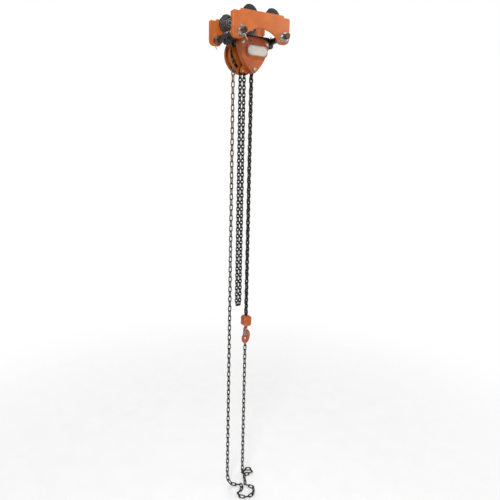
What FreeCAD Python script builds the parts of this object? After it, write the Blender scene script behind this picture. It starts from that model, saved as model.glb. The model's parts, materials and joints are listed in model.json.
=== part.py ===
"""Low-headroom hand chain hoist built into a push trolley for an I-beam, in millimetres.

Frame: X runs along the beam, Y across it (gear side at -Y, hand wheel at +Y), Z is up.
The origin is on the upper face of the beam's lower flange, midway between the four treads.
"""
import FreeCAD, Part
import math
import os

import Sketcher
from FreeCAD import Placement, Rotation, Vector

SIZES = {
    "plate_gap": 94, "plate_gauge": 6, "plate_reach": 134, "plate_crown": 40, "plate_shoulder": 33,
    "plate_foot": 66, "flange_depth": 17, "shaft_offset": 99, "shaft_drop": 42, "shaft_radius": 11,
    "shaft_reach": 136, "axle_offset": 52.5, "axle_height": 26, "tread_radius": 26,
    "wheel_flange_radius": 37, "wheel_outer": 91, "wheel_shoulder": 85, "wheel_inner": 62,
    "bearing_outer": 17.5, "bearing_bore": 7.5, "running_gap": 0.05,
    "hoist_drop": 98, "stud_circle": 66, "stud_radius": 4, "cover_corner": 15, "cover_bow": 196,
    "cheek_inner": 10, "side_inner": 16, "side_outer": 20, "cover_face": 48, "cover_wall": 3,
    "boss_reach": 26, "gear_distance": 33.6, "disc_lift": 12, "drive_radius": 6, "disc_pin_radius": 5,
    "load_pitch": 15, "hand_pitch": 23.7, "wire_gauge": 5, "link_width": 12.3,
    "sheave_apothem": 18.1, "wheel_apothem": 44.2, "hand_plane": 46.5, "wheel_cover_radius": 76,
    "wheel_cover_end": 70, "hook_strand_links": 77, "slack_down_links": 70, "slack_up_links": 66,
    "hand_strand_links": 84, "floor_drop": 2150, "block_half": 19, "block_depth": 15,
    "hook_bow": 25, "hook_gauge": 8, "hook_heading": 210,
}

doc = FreeCAD.newDocument("beam_trolley")
sheet = doc.addObject("Spreadsheet::Sheet", "Sizes")
for row, (alias, number) in enumerate(SIZES.items(), 1):
    sheet.set(f"A{row}", alias)
    sheet.set(f"B{row}", str(number))
    sheet.setAlias(f"B{row}", alias)
doc.recompute()

NODES = []


# ---------------------------------------------------------------- sizes that stay tied to the sheet

class Size:
    """A length that carries its value now and the spreadsheet expression that gives it."""

    def __init__(self, value, text):
        self.value = float(value)
        self.text = text

    def __float__(self):
        return self.value

    def __add__(self, other):
        return joined(self, "+", other, self.value + float(other))

    def __radd__(self, other):
        return joined(other, "+", self, float(other) + self.value)

    def __sub__(self, other):
        return joined(self, "-", other, self.value - float(other))

    def __rsub__(self, other):
        return joined(other, "-", self, float(other) - self.value)

    def __mul__(self, other):
        return joined(self, "*", other, self.value * float(other))

    def __rmul__(self, other):
        return joined(other, "*", self, float(other) * self.value)

    def __truediv__(self, other):
        return joined(self, "/", other, self.value / float(other))

    def __neg__(self):
        return joined(0, "-", self, -self.value)


def as_text(value):
    return value.text if isinstance(value, Size) else f"({float(value):.9g})"


def joined(left, sign, right, value):
    return Size(value, f"({as_text(left)} {sign} {as_text(right)})")


def cell(alias):
    return Size(sheet.get(alias), f"Sizes.{alias}")


plate_gap = cell("plate_gap")
plate_outer = plate_gap + cell("plate_gauge")
plate_reach = cell("plate_reach")
shaft_x = cell("shaft_offset")
shaft_z = -cell("shaft_drop")
shaft_r = cell("shaft_radius")
axle_x = cell("axle_offset")
axle_z = cell("axle_height")
gap = cell("running_gap")
axis_z = -cell("hoist_drop")
stud_r = cell("stud_radius")
side_in = cell("side_inner")
side_out = cell("side_outer")
cheek_in = cell("cheek_inner")
cover_face = cell("cover_face")
drive_r = cell("drive_radius")
disc_lift = math.radians(float(cell("disc_lift")))
gear_x = cell("gear_distance") * math.cos(disc_lift)
gear_z = axis_z + cell("gear_distance") * math.sin(disc_lift)
wire_r = cell("wire_gauge") / 2
hand_y = cell("hand_plane")
floor_z = -cell("floor_drop")


# ---------------------------------------------------------------- drawing helpers

TURNS = {"x": Rotation(Vector(0, 1, 0), 90), "y": Rotation(Vector(1, 0, 0), -90), "z": Rotation()}
PLANES = {"xy": Rotation(), "xz": Rotation(Vector(1, 0, 0), 90), "yz": Rotation(Vector(1, 1, 1), 120)}
NORMALS = {"xy": "z", "xz": "y", "yz": "x"}
HALF_TURN = Rotation(Vector(0, 0, 1), 180)


def bind(thing, **values):
    """Set each property, and tie it to the sheet where it comes from there."""
    for name, value in values.items():
        setattr(thing, name, float(value))
        if isinstance(value, Size):
            thing.setExpression(name, value.text)
    return thing


def place(thing, x=0, y=0, z=0, turn=Rotation()):
    thing.Placement = Placement(Vector(float(x), float(y), float(z)), turn)
    for axis, value in zip("xyz", (x, y, z)):
        if isinstance(value, Size):
            thing.setExpression(f".Placement.Base.{axis}", value.text)
    return thing


def node(name, thing):
    """Name a finished sub-part; the label is also the name of its file."""
    thing.Label = name
    NODES.append(thing)
    return thing


def bar(radius, start, end, axis="y", **at):
    """A round bar along one axis, from start to end."""
    rod = doc.addObject("Part::Cylinder", "Bar")
    bind(rod, Radius=radius, Height=end - start)
    at[axis] = start
    return place(rod, turn=TURNS[axis], **at)


def box(x0, x1, y0, y1, z0, z1):
    block = doc.addObject("Part::Box", "Block")
    bind(block, Length=x1 - x0, Width=y1 - y0, Height=z1 - z0)
    return place(block, x0, y0, z0)


def ball(radius, x, y, z):
    sphere = doc.addObject("Part::Sphere", "Ball")
    bind(sphere, Radius=radius)
    return place(sphere, x, y, z)


def ring(major, minor, x, y, z, axis="y"):
    torus = doc.addObject("Part::Torus", "Ring")
    bind(torus, Radius1=major, Radius2=minor)
    return place(torus, x, y, z, TURNS[axis])


def hexagon(across_flats, start, end, x=0, z=0):
    prism = doc.addObject("Part::Prism", "Hexagon")
    prism.Polygon = 6
    bind(prism, Circumradius=across_flats / math.sqrt(3), Height=end - start)
    return place(prism, x, start, z, TURNS["y"])


def cut(base, *tools):
    for tool in tools:
        pair = doc.addObject("Part::Cut", "Cut")
        pair.Base = base
        pair.Tool = tool
        base = pair
    return base


def fuse(*things):
    whole = doc.addObject("Part::MultiFuse", "Fusion")
    whole.Shapes = list(things)
    whole.Refine = True
    return whole


def common(*things):
    shared = doc.addObject("Part::MultiCommon", "Common")
    shared.Shapes = list(things)
    return shared


def group(*things):
    """Identical or matching pieces kept as separate solids in one sub-part."""
    several = doc.addObject("Part::Compound", "Group")
    several.Links = list(things)
    return several


def tube(outer, inner, start, end, axis="y", **at):
    return cut(bar(outer, start, end, axis, **at), bar(inner, start - 1, end + 1, axis, **at))


def rounded(corners):
    """Edges of a closed outline; each corner is (x, y) or (x, y, radius)."""
    corners = [(float(c[0]), float(c[1]), float(c[2]) if len(c) > 2 else 0.0) for c in corners]
    count = len(corners)
    ends = []
    for index, (x, y, radius) in enumerate(corners):
        here = Vector(x, y, 0)
        before = Vector(*corners[index - 1][:2], 0)
        after = Vector(*corners[(index + 1) % count][:2], 0)
        back = (before - here).normalize()
        ahead = (after - here).normalize()
        if radius == 0:
            ends.append((here, None, here))
            continue
        half = back.getAngle(ahead) / 2
        reach = radius / math.tan(half)
        middle = here + (back + ahead).normalize() * (radius / math.sin(half) - radius)
        ends.append((here + back * reach, middle, here + ahead * reach))
    edges = []
    for index, (first, middle, last) in enumerate(ends):
        if middle is not None:
            edges.append(Part.Arc(first, middle, last))
        follower = ends[(index + 1) % count][0]
        if (follower - last).Length > 1e-6:
            edges.append(Part.LineSegment(last, follower))
    return edges


def outline(edges, level, plane="xz"):
    """A sketch of the edges, at a level along the plane's normal."""
    sketch = doc.addObject("Sketcher::SketchObject", "Outline")
    sketch.addGeometry(edges, False)
    return place(sketch, turn=PLANES[plane], **{NORMALS[plane]: level})


def slab(edges, start, end, plane="xz"):
    """A flat outline made solid from start to end along the plane's normal."""
    axis = NORMALS[plane]
    solid = doc.addObject("Part::Extrusion", "Slab")
    solid.Base = outline(edges, start, plane)
    solid.DirMode = "Custom"
    solid.Dir = Vector(*[1.0 if letter == axis else 0.0 for letter in "xyz"])
    solid.Solid = True
    return bind(solid, LengthFwd=end - start)


def loft(first_edges, first_level, last_edges, last_level):
    """A solid between two outlines with matching corners."""
    solid = doc.addObject("Part::Loft", "Loft")
    solid.Sections = [outline(first_edges, first_level), outline(last_edges, last_level)]
    solid.Solid = True
    solid.Ruled = True
    return solid


def origin_plane(body, role):
    return next(item for item in body.Origin.OriginFeatures if item.Role == role)


def turned(name, profile, x=0, z=0, turn=Rotation()):
    """A lathe-turned body about the Y axis; the profile lists (radius, y) corners."""
    body = doc.addObject("PartDesign::Body", name)
    sketch = body.newObject("Sketcher::SketchObject", name + "_profile")
    sketch.AttachmentSupport = (origin_plane(body, "XY_Plane"), "")
    sketch.MapMode = "FlatFace"
    spots = [Vector(float(radius), float(y), 0) for radius, y in profile]
    for index, spot in enumerate(spots):
        sketch.addGeometry(Part.LineSegment(spot, spots[(index + 1) % len(spots)]), False)
    for index in range(len(spots)):
        sketch.addConstraint(Sketcher.Constraint("Coincident", index, 2, (index + 1) % len(spots), 1))
    for index, corner in enumerate(profile):
        for kind, value in zip(("DistanceX", "DistanceY"), corner):
            if isinstance(value, Size) and abs(float(value)) > 0:
                number = sketch.addConstraint(
                    Sketcher.Constraint(kind, -1, 1, index, 1, float(value)))
                sketch.setExpression(f"Constraints[{number}]", value.text)
    spin = body.newObject("PartDesign::Revolution", name + "_spin")
    spin.Profile = sketch
    spin.ReferenceAxis = (sketch, ["V_Axis"])
    spin.Angle = 360
    return place(body, x, 0, z, turn)


def four_corners(make, x, z):
    """The same piece at both ends of both side plates, as a list."""
    pieces = []
    for end in (-1, 1):
        pieces.append(make(x * end, z, Rotation()))
        pieces.append(make(x * end, z, HALF_TURN))
    return pieces


# ---------------------------------------------------------------- trolley: plates, wheels, shafts

ARCH_RADIUS = 105.0
ARCH_APEX = 17.5
LOBE_INNER = 89.5
AXLE_SPIGOT = 4.5


def side_plate(name, turn):
    """Pressed plate: ends and lobe feet rimmed inward, an arch between the lobes, a stepped crown."""
    reach, gauge = float(plate_reach), float(cell("plate_gauge"))
    foot, crown = -float(cell("plate_foot")), float(cell("plate_crown"))
    shoulder = float(cell("plate_shoulder"))
    lip = -plate_outer + cell("flange_depth")
    half = [(LOBE_INNER, foot, 22), (reach, foot, 21), (reach, shoulder, 7), (103, shoulder), (99, crown)]
    mirrored = [(-corner[0],) + corner[1:] for corner in reversed(half)]
    block = slab(rounded([(0, ARCH_APEX, ARCH_RADIUS)] + half + mirrored), -plate_outer, lip)
    doc.recompute()
    pressed = doc.addObject("Part::Fillet", "PressedEdge")
    pressed.Base = block
    pressed.Edges = [(index, gauge, gauge) for index, edge in enumerate(block.Shape.Edges, 1)
                     if edge.BoundBox.YMax < -float(plate_outer) + 1e-6
                     and edge.BoundBox.ZMin < shoulder - 1]
    inside = rounded([(gauge - reach, crown + 5), (reach - gauge, crown + 5),
                      (reach - gauge, foot + gauge, 15), (gauge - reach, foot + gauge, 15)])
    holes = [bar(shaft_r + 0.1, -plate_outer - 1, -plate_gap + 1, x=shaft_x * end, z=shaft_z)
             for end in (-1, 1)]
    holes += [bar(7, -plate_gap - AXLE_SPIGOT, -plate_gap + 1, x=axle_x * end, z=axle_z)
              for end in (-1, 1)]
    notch = box(-plate_reach - 1, -plate_reach + 8, lip - 10, lip + 1, -35, 3)
    plate = cut(pressed, slab(inside, -plate_gap, lip + 1), *holes, notch)
    plate.Placement = Placement(Vector(), turn)
    return node(name, plate)


def track_wheel(name, x, turn):
    """Cast wheel: the flange is next to the side plate and the hub face is recessed."""
    outer = -cell("wheel_outer")
    shoulder = -cell("wheel_shoulder")
    inner = -cell("wheel_inner")
    rim = cell("wheel_flange_radius")
    tread = cell("tread_radius")
    bore = cell("bearing_outer") + gap
    profile = [
        (12.5, outer), (rim - 1, outer), (rim, outer + 1), (rim, shoulder - 1.2), (rim - 1.2, shoulder),
        (tread + 1, shoulder), (tread, shoulder + 1), (tread, inner - 1.5), (tread - 1.5, inner),
        (21.5, inner), (20, inner - 3.5), (bore, inner - 3.5), (bore, -80), (12.5, -80)]
    return node(name, turned(name, profile, x, axle_z, turn))


def wheel_axle(x, z, turn):
    """Stub axle seated in a blind hole behind the side plate, with a collar and a circlip groove."""
    journal = cell("bearing_bore")
    profile = [
        (0, -plate_gap - AXLE_SPIGOT), (7, -plate_gap - AXLE_SPIGOT), (7, -plate_gap), (11, -plate_gap), (11, -80),
        (journal, -80), (journal, -65.5), (6.7, -65.5), (6.7, -64.5), (journal, -64.5),
        (journal, -63.5), (0, -63.5)]
    return turned("Axle", profile, x, z, turn)


def bearing(inner, outer, start, end, x, z, balls):
    """Deep-groove bearing: two rings and the balls between them, all clear of each other."""
    inner_ring = tube(inner + (outer - inner) * 0.24, inner, start, end, x=x, z=z)
    outer_ring = tube(outer, outer - (outer - inner) * 0.24, start, end, x=x, z=z)
    pitch = (float(inner) + float(outer)) / 2
    radius = (float(outer) - float(inner)) * 0.25
    middle = (float(start) + float(end)) / 2
    parts = [inner_ring, outer_ring]
    for step in range(balls):
        angle = 2 * math.pi * step / balls
        parts.append(ball(radius, x + pitch * math.cos(angle), middle, z + pitch * math.sin(angle)))
    return parts


def wheel_bearings():
    parts = []
    for side in (-1, 1):
        start, end = sorted((66 * side, 80 * side))
        for end_x in (-1, 1):
            parts += bearing(cell("bearing_bore"), cell("bearing_outer"), start, end,
                             axle_x * end_x, axle_z, 8)
    return node("wheel_bearings", group(*parts))


def wheel_circlips():
    clips = []
    for side in (-1, 1):
        start, end = sorted((64.6 * side, 65.4 * side))
        for end_x in (-1, 1):
            clip = tube(10.5, 6.8, start, end, x=axle_x * end_x, z=axle_z)
            mouth = box(axle_x * end_x - 3, axle_x * end_x + 3, start - 1, end + 1, axle_z - 12, axle_z)
            clips.append(cut(clip, mouth))
    return node("wheel_circlips", group(*clips))


def suspension_shaft(name, x):
    reach = cell("shaft_reach")
    shaft = turned(name + "_bar", [
        (0, -reach), (shaft_r - 1.5, -reach), (shaft_r, -reach + 1.5), (shaft_r, reach - 1.5),
        (shaft_r - 1.5, reach), (0, reach)], x, shaft_z)
    holes = [pin_bar(2, -15, 15, x, side) for side in (-1, 1)]
    return node(name, cut(shaft, *holes))


PIN_PLANE = 121.0
PIN_HEADINGS = {-1: -60, 1: 210}


def pin_bar(radius, start, end, x, side, out=0.0):
    """A round bar across a shaft's end, along that shaft's split pin and out of line by a little."""
    heading = math.radians(PIN_HEADINGS[1 if float(x) > 0 else -1])
    along = Vector(math.cos(heading), 0, math.sin(heading))
    across = Vector(-math.sin(heading), 0, math.cos(heading))
    rod = doc.addObject("Part::Cylinder", "PinBar")
    bind(rod, Radius=radius, Height=end - start)
    foot = along * start + across * out
    return place(rod, x + foot.x, PIN_PLANE * side, shaft_z + foot.z, Rotation(Vector(0, 0, 1), along))


def castle_nut(x, side):
    """Hexagon with a slotted crown on its outer end; one slot lines up with the split pin."""
    near, crown, far = plate_outer + 6, plate_outer + 17, plate_outer + 24
    if side > 0:
        body = fuse(hexagon(32.0, near, crown, x, shaft_z), bar(15, crown, far, x=x, z=shaft_z))
        slots = (crown + 1, far + 1)
    else:
        body = fuse(hexagon(32.0, -crown, -near, x, shaft_z), bar(15, -far, -crown, x=x, z=shaft_z))
        slots = (-far - 1, -crown - 1)
    heading = PIN_HEADINGS[1 if float(x) > 0 else -1]
    tools = []
    for step in range(3):
        slot = box(-20, 20, slots[0], slots[1], -2.3, 2.3)
        turn = Rotation(Vector(0, -1, 0), heading + 60 * step)
        offset = turn.multVec(Vector(-20, 0, -2.3))
        place(slot, x + offset.x, slots[0], shaft_z + offset.z, turn)
        tools.append(slot)
    return cut(body, bar(shaft_r, -130, 130, x=x, z=shaft_z), *tools)


def split_pin(x, side):
    """Eye beside the nut, stem through the shaft, and two long legs, one a little spread."""
    heading = math.radians(PIN_HEADINGS[1 if float(x) > 0 else -1])
    eye = ring(3, 1.3, x - 20.5 * math.cos(heading), PIN_PLANE * side, shaft_z - 20.5 * math.sin(heading))
    return fuse(eye, pin_bar(1.6, -18, 18, x, side), pin_bar(1.1, 17, 37, x, side, 0.6),
                pin_bar(1.1, 17, 31, x, side, -1.4))


def adjusting_washers():
    """Six washers inside and two outside each plate, moved across to suit the beam's width."""
    washers = []
    for end in (-1, 1):
        for side in (-1, 1):
            for first, count, gauge in ((plate_gap - 24, 6, 4), (plate_outer, 2, 3)):
                for step in range(count):
                    near = first + step * gauge
                    far = near + gauge
                    span = (near, far) if side > 0 else (-far, -near)
                    washers.append(tube(17.5, shaft_r + 0.2, span[0], span[1], x=shaft_x * end, z=shaft_z))
    return node("adjusting_washers", group(*washers))


def spacer_tubes():
    tubes = []
    for end in (-1, 1):
        for start, finish in ((-plate_gap + 24, -cell("boss_reach")), (cell("boss_reach"), plate_gap - 24)):
            tubes.append(tube(13.5, shaft_r + 0.2, start, finish, x=shaft_x * end, z=shaft_z))
    return node("spacer_tubes", group(*tubes))


def build_trolley():
    side_plate("side_plate_front", Rotation())
    side_plate("side_plate_rear", HALF_TURN)
    for face, turn in (("front", Rotation()), ("rear", HALF_TURN)):
        for end, x in (("left", -axle_x), ("right", axle_x)):
            track_wheel(f"track_wheel_{face}_{end}", x, turn)
    node("wheel_axles", group(*four_corners(wheel_axle, axle_x, axle_z)))
    wheel_bearings()
    wheel_circlips()
    suspension_shaft("suspension_shaft_left", -shaft_x)
    suspension_shaft("suspension_shaft_right", shaft_x)
    ends = [(shaft_x * end, side) for end in (-1, 1) for side in (-1, 1)]
    node("shaft_nuts", group(*[castle_nut(x, side) for x, side in ends]))
    node("split_pins", group(*[split_pin(x, side) for x, side in ends]))
    adjusting_washers()
    spacer_tubes()


# ---------------------------------------------------------------- hoist frame and covers

def stud_places():
    """Three stay bolts: two above the hoist's axis and one below it."""
    circle = cell("stud_circle")
    return [(circle * math.cos(math.radians(angle)), axis_z + circle * math.sin(math.radians(angle)))
            for angle in (30, 150, 270)]


def cover_outline(inset=0.0):
    """Triangle with round corners about the studs and gently bowed sides."""
    corner = float(cell("cover_corner")) - inset
    bow = float(cell("cover_bow")) - inset
    studs = [Vector(float(x), float(z), 0) for x, z in stud_places()]
    edges = []
    for index, stud in enumerate(studs):
        following = studs[(index + 1) % 3]
        previous = studs[index - 1]
        centre_next = bow_centre(stud, following, bow - corner)
        centre_before = bow_centre(previous, stud, bow - corner)
        start = centre_before + (stud - centre_before).normalize() * bow
        finish = centre_next + (stud - centre_next).normalize() * bow
        outward = ((start - stud) + (finish - stud)).normalize() * corner
        edges.append(Part.Arc(start, stud + outward, finish))
        landing = centre_next + (following - centre_next).normalize() * bow
        chord_middle = (finish + landing) * 0.5
        crest = centre_next + (chord_middle - centre_next).normalize() * bow
        edges.append(Part.Arc(finish, crest, landing))
    return edges


def bow_centre(first, second, radius):
    """Centre of the side's arc, on the far side of the chord from the outline."""
    middle = (first + second) * 0.5
    hoist_centre = Vector(0, float(axis_z), 0)
    inward = (hoist_centre - middle).normalize()
    depth = math.sqrt(radius ** 2 - ((second - first).Length / 2) ** 2)
    return middle + inward * depth


LOBE_DROP = 17.0


def hanger_frame():
    """Welded frame that hangs the hoist from both cross shafts; each end has a lobe below its shaft."""
    foot = -float(cell("shaft_drop")) - 13
    studs = stud_places()
    cheeks = []
    reach = float(shaft_x)
    ear_x, ear_z = float(studs[0][0]), float(studs[0][1])
    half = [(ear_x - 22, foot, 6), (ear_x - 12, ear_z - 11, 10), (ear_x + 14, ear_z - 11, 10),
            (ear_x + 22, foot, 3), (reach - 14, foot, 2), (reach - 14, foot - LOBE_DROP, 10),
            (reach + 13, foot - LOBE_DROP, 12), (reach + 13, foot + 26, 12)]
    outline = rounded(half + [(-corner[0],) + corner[1:] for corner in reversed(half)])
    for start, end in ((-side_in, -cheek_in), (cheek_in, side_in)):
        cheeks.append(slab(outline, start, end))
    bosses = [bar(15.5, -cell("boss_reach"), cell("boss_reach"), x=shaft_x * end, z=shaft_z)
              for end in (-1, 1)]
    bosses += [bar(10, -side_out, side_out, x=(shaft_x - 0.5) * end, z=shaft_z - LOBE_DROP - 2)
               for end in (-1, 1)]
    bridges = [box(min(x0, x1), max(x0, x1), -cheek_in, cheek_in, foot + 18, foot + 24)
               for x0, x1 in ((-80, -20), (20, 80))]
    frame = fuse(*cheeks, *bosses, *bridges)
    frame.Refine = False
    holes = [bar(shaft_r + 0.1, -30, 30, x=shaft_x * end, z=shaft_z) for end in (-1, 1)]
    holes += [bar(stud_r, -30, 30, x=x, z=z) for x, z in studs[:2]]
    return node("hanger_frame", cut(frame, *holes))


ANCHOR_X = -37.0
ANCHOR_DROP = 70.6
ROLLER_X = 34.5
ROLLER_DROP = 14.0
PAWL_PIVOT = Vector(33, 0, -24)


def pawl_places():
    """Pawl pivots in X and Z, half a turn apart about the hoist's axis."""
    return [(PAWL_PIVOT.x * sign, axis_z + PAWL_PIVOT.z * sign) for sign in (1, -1)]


def side_plate_of_hoist(name, start, end, front):
    """Hoist side plate with its studs, bearing seat, roller pins and chain anchor tab."""
    tab = rounded([(10, float(axis_z) - 50, 4), (10, float(axis_z) - 80, 8),
                   (ANCHOR_X - 10, float(axis_z) - ANCHOR_DROP - 10, 9),
                   (ANCHOR_X - 10, float(axis_z) - ANCHOR_DROP + 10, 9), (-36, float(axis_z) - 50, 3)])
    plate = fuse(slab(cover_outline(), start, end), slab(tab, start, end))
    holes = [bar(stud_r, start - 1, end + 1, x=x, z=z) for x, z in stud_places()]
    holes.append(bar(19, start - 1, end + 1, x=0, z=axis_z))
    holes.append(bar(3.2, start - 1, end + 1, x=ANCHOR_X, z=axis_z - ANCHOR_DROP))
    holes += [bar(3, start - 1, end + 1, x=ROLLER_X * side, z=axis_z - ROLLER_DROP) for side in (-1, 1)]
    if front:
        holes += [bar(cell("disc_pin_radius") + gap, start - 1, end + 1, x=gear_x * side, z=gear_z)
                  for side in (-1, 1)]
    else:
        holes += [bar(3, start - 1, end + 1, x=x, z=z) for x, z in pawl_places()]
    return node(name, cut(plate, *holes))


def stay_bolts():
    bolts = [bar(stud_r, -cover_face - 7, cell("wheel_cover_end") + 5, x=x, z=z)
             for x, z in stud_places()]
    return node("stay_bolts", group(*bolts))


def stay_spacers():
    """Tubes on the stay bolts: one below the sheave, three out to the hand wheel cover."""
    studs = stud_places()
    end = cell("wheel_cover_end") - 2
    tubes = [tube(7, stud_r + 0.1, side_out, end, x=x, z=z) for x, z in studs]
    tubes.append(tube(7, stud_r + 0.1, -side_in, side_in, x=studs[2][0], z=studs[2][1]))
    return node("stay_spacers", group(*tubes))


def cap_nuts():
    """Domed nuts that hold the gear cover."""
    nuts = []
    for x, z in stud_places():
        flats = hexagon(14.0, -cover_face - 6, -cover_face, x, z)
        dome = common(ball(6.6, x, -cover_face - 5, z), box(x - 8, x + 8, -cover_face - 12,
                                                            -cover_face - 5, z - 8, z + 8))
        nuts.append(cut(fuse(flats, dome), bar(stud_r, -cover_face - 7, -cover_face + 1, x=x, z=z)))
    return node("cover_cap_nuts", group(*nuts))


def rear_nuts():
    start = cell("wheel_cover_end")
    nuts = [cut(hexagon(13.0, start, start + 5, x, z), bar(stud_r, start - 1, start + 6, x=x, z=z))
            for x, z in stud_places()]
    return node("stay_nuts", group(*nuts))


BOSS_CENTRE = 10.0
BOSS_LENGTH = 96.0
BOSS_HEIGHT = 42.0
BOSS_RISE = 7.0
PAD_CENTRE = -10.0
PAD_LIFT = 41.0


def stadium(length, height, x, z, radius):
    left, right = x - length / 2, x + length / 2
    low, high = z - height / 2, z + height / 2
    return rounded([(left, low, radius), (right, low, radius), (right, high, radius), (left, high, radius)])


def boss_skirt(centre):
    """The boss slopes down from its front to a wider foot below it."""
    low, high = centre + 4 - BOSS_HEIGHT / 2, centre + 4 + BOSS_HEIGHT / 2
    left, right = BOSS_CENTRE - BOSS_LENGTH / 2, BOSS_CENTRE + BOSS_LENGTH / 2
    front = stadium(BOSS_LENGTH, BOSS_HEIGHT, BOSS_CENTRE, centre + 4, 12)
    foot = rounded([(left + 12, low - 14, 20), (right - 14, low - 14, 20), (right, high, 12), (left, high, 12)])
    return loft(front, -cover_face - BOSS_RISE, foot, -cover_face + 1)


def gear_cover():
    """Pressed cover over the gears, with a raised boss for the rating plate and an oil pad."""
    shell = slab(cover_outline(), -cover_face, -side_out)
    doc.recompute()
    rim = doc.addObject("Part::Fillet", "CoverRim")
    rim.Base = shell
    rim.Edges = [(index, 6.0, 6.0) for index, edge in enumerate(shell.Shape.Edges, 1)
                 if abs(edge.BoundBox.YMax + float(cover_face)) < 1e-6]
    centre = float(axis_z)
    boss = fuse(slab(stadium(BOSS_LENGTH, BOSS_HEIGHT, BOSS_CENTRE, centre + 4, 12),
                     -cover_face - BOSS_RISE, -cover_face + 4), boss_skirt(centre))
    pad = slab(stadium(36, 16, PAD_CENTRE, centre + PAD_LIFT, 7.9), -cover_face - 2, -cover_face + 2)
    room = slab(cover_outline(float(cell("cover_wall"))), -cover_face + cell("cover_wall"), -side_out + 1)
    boss_room = slab(stadium(BOSS_LENGTH - 6, BOSS_HEIGHT - 6, BOSS_CENTRE, centre + 4, 9),
                     -cover_face - BOSS_RISE + 3, -cover_face + 4)
    hollow = cut(fuse(rim, boss, pad), room, boss_room)
    posts = [bar(8, -cover_face + 1, -side_out, x=x, z=z) for x, z in stud_places()]
    seats = [bar(10, -cover_face + 0.5, -42, x=-gear_x, z=gear_z),
             bar(10, -cover_face - BOSS_RISE + 1, -42, x=gear_x, z=gear_z),
             bar(12, -cover_face - BOSS_RISE + 1, -43, x=0, z=axis_z)]
    holes = [bar(stud_r, -cover_face - 10, -side_out + 1, x=x, z=z) for x, z in stud_places()]
    holes += [bar(cell("disc_pin_radius") + gap, -cover_face + 1, -41, x=gear_x * side, z=gear_z)
              for side in (-1, 1)]
    holes.append(bar(drive_r + gap, -cover_face - 1, -42, x=0, z=axis_z))
    holes += [bar(4, -cover_face - 3, -cover_face + 1.5, x=PAD_CENTRE + side * 9, z=axis_z + PAD_LIFT)
              for side in (-1, 1)]
    inside_posts = common(fuse(*posts), slab(cover_outline(), -cover_face, -side_out))
    return node("gear_cover", cut(fuse(hollow, inside_posts, *seats), *holes))


def rating_plate():
    """Blank rating plate and its four rivets on the cover's boss."""
    centre = float(axis_z) + 4
    face = -cover_face - BOSS_RISE
    length, height = BOSS_LENGTH - 4, BOSS_HEIGHT - 5
    plate = slab(stadium(length, height, BOSS_CENTRE, centre, height / 2 - 0.5), face - 1, face)
    spots = [(BOSS_CENTRE + 30 * side, centre + 14 * up) for side in (-1, 1) for up in (-1, 1)]
    holes = [bar(1.5, face - 2, face + 1, x=x, z=z) for x, z in spots]
    node("rating_plate", cut(plate, *holes))
    rivets = [fuse(bar(1.5, face - 1.5, face, x=x, z=z), bar(2.6, face - 2, face - 1, x=x, z=z))
              for x, z in spots]
    return node("rating_plate_rivets", group(*rivets))


def hand_wheel_cover():
    """Drum cover with a slot at each side through which the hand chain leaves."""
    outer = cell("wheel_cover_radius")
    end = cell("wheel_cover_end")
    drum = cut(bar(outer, side_out, end, x=0, z=axis_z), bar(outer - 2, side_out - 1, end - 2, x=0, z=axis_z))
    doc.recompute()
    rim = doc.addObject("Part::Fillet", "DrumRim")
    rim.Base = drum
    rim.Edges = [(index, 1.8, 1.8) for index, edge in enumerate(drum.Shape.Edges, 1)
                 if edge.BoundBox.YMin > float(end) - 1e-6 and edge.Length > 400]
    slots = []
    for first in (-66, 164):
        sector = doc.addObject("Part::Cylinder", "SlotSector")
        bind(sector, Radius=outer + 5, Height=22.0, Angle=82.0)
        turn = TURNS["y"].multiply(Rotation(Vector(0, 0, 1), -first - 82))
        place(sector, 0, hand_y - 11, axis_z, turn)
        slots.append(cut(sector, bar(outer - 8, hand_y - 12, hand_y + 12, x=0, z=axis_z)))
    holes = [bar(stud_r, end - 3, end + 1, x=x, z=z) for x, z in stud_places()]
    return node("hand_wheel_cover", cut(rim, *slots, *holes))


def brake_cover():
    """Ring guard round the ratchet and pawls, with three feet screwed to the side plate."""
    wall = tube(52, 50.5, side_out, 33, x=0, z=axis_z)
    face = tube(52, 38, 32.4, 33.9, x=0, z=axis_z)
    spots = [(56 * math.cos(math.radians(a)), axis_z + 56 * math.sin(math.radians(a)))
             for a in (90, 210, 330)]
    feet = [cut(bar(5, side_out, side_out + 1.5, x=x, z=z), bar(50.5, 19, 30, x=0, z=axis_z))
            for x, z in spots]
    screws = [fuse(bar(1.5, side_out, side_out + 3, x=x, z=z),
                   bar(3, side_out + 1.5, side_out + 3.5, x=x, z=z)) for x, z in spots]
    holes = [bar(1.5, side_out - 1, side_out + 2, x=x, z=z) for x, z in spots]
    node("brake_cover", cut(fuse(wall, face, *feet), *holes))
    return node("brake_cover_screws", group(*screws))


def chain_guides():
    """Two guide rollers beside the sheave, their pins, the stripper and the slack end's anchor."""
    rollers = []
    pins = []
    for side in (-1, 1):
        x = ROLLER_X * side
        z = axis_z - ROLLER_DROP
        rollers.append(tube(7, 3.1, -side_in + 1, side_in - 1, x=x, z=z))
        pins.append(bar(3, -side_out, side_out, x=x, z=z))
    node("guide_rollers", group(*rollers))
    node("guide_roller_pins", group(*pins))
    base = box(-8.4, 8.4, -side_in, side_in, axis_z - 46, axis_z - 30)
    fin = box(-7, 7, -2.2, 2.2, axis_z - 31, axis_z - 10.8)
    node("chain_stripper", fuse(base, fin))
    x, z = ANCHOR_X, axis_z - ANCHOR_DROP
    pin = fuse(bar(3.2, -side_out - 4, side_out + 3, x=x, z=z), bar(7, -side_out - 3, -side_out, x=x, z=z))
    return node("chain_anchor_pin", pin)


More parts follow.
